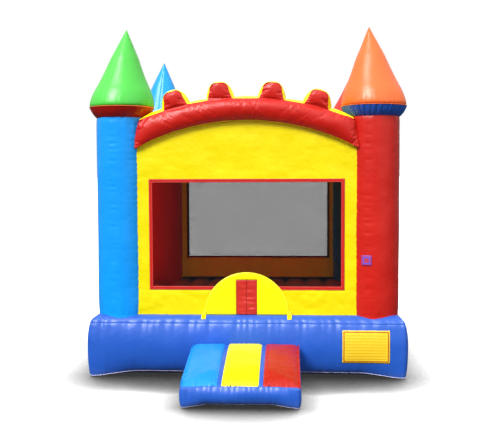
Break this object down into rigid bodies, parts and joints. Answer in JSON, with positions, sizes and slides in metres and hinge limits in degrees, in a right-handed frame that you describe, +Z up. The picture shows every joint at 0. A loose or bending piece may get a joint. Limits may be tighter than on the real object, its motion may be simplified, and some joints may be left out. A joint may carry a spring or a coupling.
{
  "type": "inflatable bounce house",
  "caption": "Inflatable castle bounce house: square base with bouncing floor, corner towers with cone roofs, arched netting-window walls, entrance step.",
  "frame": {"origin": "on the ground, under the middle of the base (the step and the inflation sleeve reach beyond it)", "axes": "+Z up, -Y towards the entrance side and its step, +X towards the right-hand side seen from the entrance"},
  "size_m": [3.9904, 5.93, 4.31],
  "materials": {
    "vinyl_royal_blue": "glossy coated fabric",
    "vinyl_light_blue": "glossy coated fabric",
    "vinyl_red": "glossy coated fabric",
    "vinyl_dark_red": "glossy coated fabric",
    "vinyl_yellow": "glossy coated fabric",
    "vinyl_green": "glossy coated fabric",
    "vinyl_orange": "glossy coated fabric",
    "vinyl_dark_blue": "satin coated fabric",
    "netting_black": "knitted safety netting, about half open",
    "binding_red": "satin woven binding with white stitching",
    "webbing_black": "woven webbing and tape",
    "placard_amber": "satin printed vinyl, blank",
    "patch_violet": "satin hook-and-loop patch",
    "moulded_black": "moulded plastic",
    "steel_plated": "zinc-plated"
  },
  "bodies": {
    "castle": {"ground_sheet": "vinyl_dark_blue", "base_skirt": "vinyl_royal_blue", "base_deck": "vinyl_royal_blue", "jump_floor": "vinyl_dark_blue", "floor_baffles": "vinyl_dark_blue", "front_left_tower": "vinyl_light_blue", "front_right_tower": "vinyl_red", "rear_left_tower": "vinyl_red", "rear_right_tower": "vinyl_light_blue", "front_left_collar": "vinyl_dark_red", "front_right_collar": "vinyl_royal_blue", "rear_left_collar": "vinyl_royal_blue", "rear_right_collar": "vinyl_dark_red", "front_left_cone": "vinyl_green", "front_right_cone": "vinyl_orange", "rear_left_cone": "vinyl_light_blue", "rear_right_cone": "vinyl_red", "front_arch_face": "vinyl_red", "front_arch_gusset": "vinyl_yellow", "front_arch_back": "vinyl_red", "rear_arch_face": "vinyl_red", "rear_arch_gusset": "vinyl_yellow", "rear_arch_back": "vinyl_red", "left_side_beam": "vinyl_yellow", "right_side_beam": "vinyl_yellow", "front_wall": "vinyl_yellow", "rear_wall": "vinyl_yellow", "left_wall": "vinyl_red", "right_wall": "vinyl_red", "front_window_netting": "netting_black", "rear_window_netting": "netting_black", "front_window_binding": "binding_red", "rear_window_binding": "binding_red", "entrance_half_moon": "vinyl_yellow", "wall_tie_tabs": "vinyl_yellow", "roof_cover": "vinyl_yellow", "roof_fastening_strips": "webbing_black", "step_body": "vinyl_royal_blue", "step_pad_blue": "vinyl_light_blue", "step_pad_yellow": "vinyl_yellow", "step_pad_red": "vinyl_red", "information_placard": "placard_amber", "tower_fastening_patch": "patch_violet", "anchor_patches": "vinyl_royal_blue", "anchor_webbing": "webbing_black", "inflation_tube": "vinyl_royal_blue", "inflation_tube_strap": "webbing_black", "inflation_tube_buckle": "moulded_black", "zip_tape": "webbing_black", "zip_teeth": "moulded_black"},
    "entrance_flap_left": {"entrance_flap_left": "vinyl_red"},
    "entrance_flap_right": {"entrance_flap_right": "vinyl_red"},
    "zip_slider": {"zip_slider": "steel_plated"},
    "zip_pull": {"zip_pull": "steel_plated"},
    "anchor_ring_left_front": {"anchor_ring_left_front": "steel_plated"},
    "anchor_ring_left_rear": {"anchor_ring_left_rear": "steel_plated"},
    "anchor_ring_right_front": {"anchor_ring_right_front": "steel_plated"},
    "anchor_ring_right_rear": {"anchor_ring_right_rear": "steel_plated"},
    "anchor_ring_rear_left": {"anchor_ring_rear_left": "steel_plated"},
    "anchor_ring_rear_right": {"anchor_ring_rear_right": "steel_plated"}
  },
  "joints": [
    {"name": "flap_left_hinge", "type": "hinge", "parent": "castle", "child": "entrance_flap_left", "pos_m": [-0.126, -1.806, 0.965], "axis": [0, 0, 1], "range_deg": [-90, 90], "stiffness_Nm_per_rad": 0.05},
    {"name": "flap_right_hinge", "type": "hinge", "parent": "castle", "child": "entrance_flap_right", "pos_m": [0.126, -1.806, 0.965], "axis": [0, 0, 1], "range_deg": [-90, 90], "stiffness_Nm_per_rad": 0.05},
    {"name": "zip_slide", "type": "slide", "parent": "castle", "child": "zip_slider", "axis": [0, 0, 1], "range_m": [0, 0.415]},
    {"name": "zip_pull_hinge", "type": "hinge", "parent": "zip_slider", "child": "zip_pull", "pos_m": [0.75, 1.9906, 0.146], "axis": [1, 0, 0], "range_deg": [0, 170]},
    {"name": "anchor_ring_left_front_hinge", "type": "hinge", "parent": "castle", "child": "anchor_ring_left_front", "pos_m": [-1.9886, -1.5, 0.2], "axis": [0, 1, 0], "range_deg": [0, 140]},
    {"name": "anchor_ring_left_rear_hinge", "type": "hinge", "parent": "castle", "child": "anchor_ring_left_rear", "pos_m": [-1.9886, 1.5, 0.2], "axis": [0, 1, 0], "range_deg": [0, 140]},
    {"name": "anchor_ring_right_front_hinge", "type": "hinge", "parent": "castle", "child": "anchor_ring_right_front", "pos_m": [1.9886, -1.5, 0.2], "axis": [0, -1, 0], "range_deg": [0, 140]},
    {"name": "anchor_ring_right_rear_hinge", "type": "hinge", "parent": "castle", "child": "anchor_ring_right_rear", "pos_m": [1.9886, 1.5, 0.2], "axis": [0, -1, 0], "range_deg": [0, 140]},
    {"name": "anchor_ring_rear_left_hinge", "type": "hinge", "parent": "castle", "child": "anchor_ring_rear_left", "pos_m": [-1.5, 1.9886, 0.2], "axis": [1, 0, 0], "range_deg": [0, 140]},
    {"name": "anchor_ring_rear_right_hinge", "type": "hinge", "parent": "castle", "child": "anchor_ring_rear_right", "pos_m": [1.5, 1.9886, 0.2], "axis": [1, 0, 0], "range_deg": [0, 140]}
  ]
}
